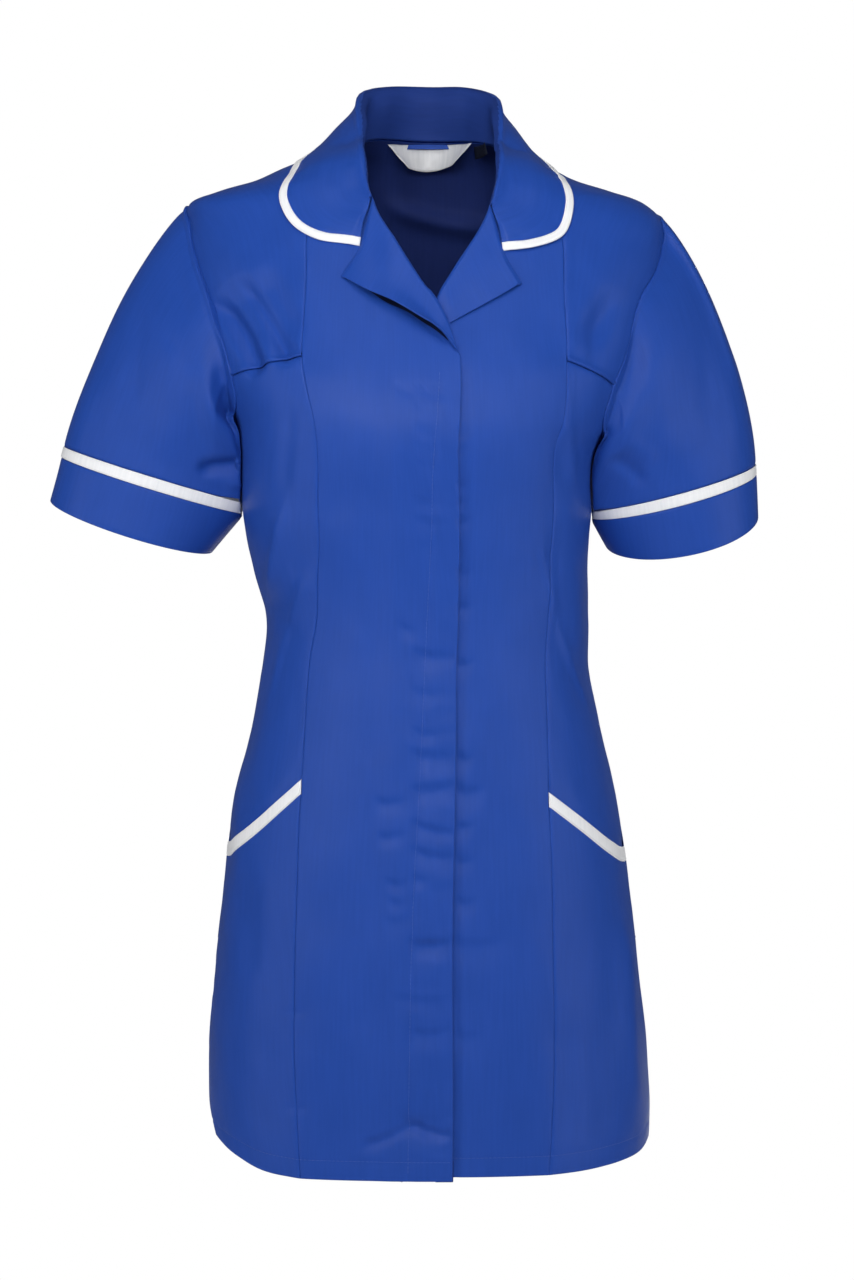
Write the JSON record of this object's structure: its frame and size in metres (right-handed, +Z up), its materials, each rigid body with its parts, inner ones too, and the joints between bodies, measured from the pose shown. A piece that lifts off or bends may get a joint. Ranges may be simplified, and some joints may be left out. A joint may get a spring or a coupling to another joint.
{
  "type": "medical tunic",
  "caption": "Short-sleeved fitted medical tunic with a rounded collar, lapels, a concealed front fastening, bound slanted pockets and side vents, hollow as worn.",
  "frame": {"origin": "middle of the neck opening, at the height of the shoulder seams' inner ends, where the wearer's shoulders hold the tunic up", "axes": "+Z up, -Y to the front, +X to the wearer's left"},
  "size_m": [0.5668, 0.2612, 0.8657],
  "materials": {
    "blue_cloth": "matt polyester and cotton twill, royal blue, with a faint sheen",
    "white_binding": "smooth white polyester and cotton binding",
    "label_white": "smooth off-white woven satin label, bare",
    "tag_dark": "dark woven size tag, bare"
  },
  "bodies": {
    "root": {"front_right": "blue_cloth", "front_left": "blue_cloth", "shoulder_front_right": "blue_cloth", "shoulder_front_left": "blue_cloth", "side_front_right": "blue_cloth", "side_front_left": "blue_cloth", "pocket_front_right": "blue_cloth", "pocket_front_left": "blue_cloth", "pocket_binding_right": "white_binding", "pocket_binding_left": "white_binding", "back": "blue_cloth", "lapel_right": "blue_cloth", "lapel_left": "blue_cloth", "collar": "blue_cloth", "collar_binding": "white_binding", "sleeve_right": "blue_cloth", "sleeve_left": "blue_cloth", "sleeve_band_right": "white_binding", "sleeve_band_left": "white_binding", "cuff_right": "blue_cloth", "cuff_left": "blue_cloth", "label": "label_white", "hanging_loop": "blue_cloth", "size_tag": "tag_dark"}
  },
  "joints": []
}
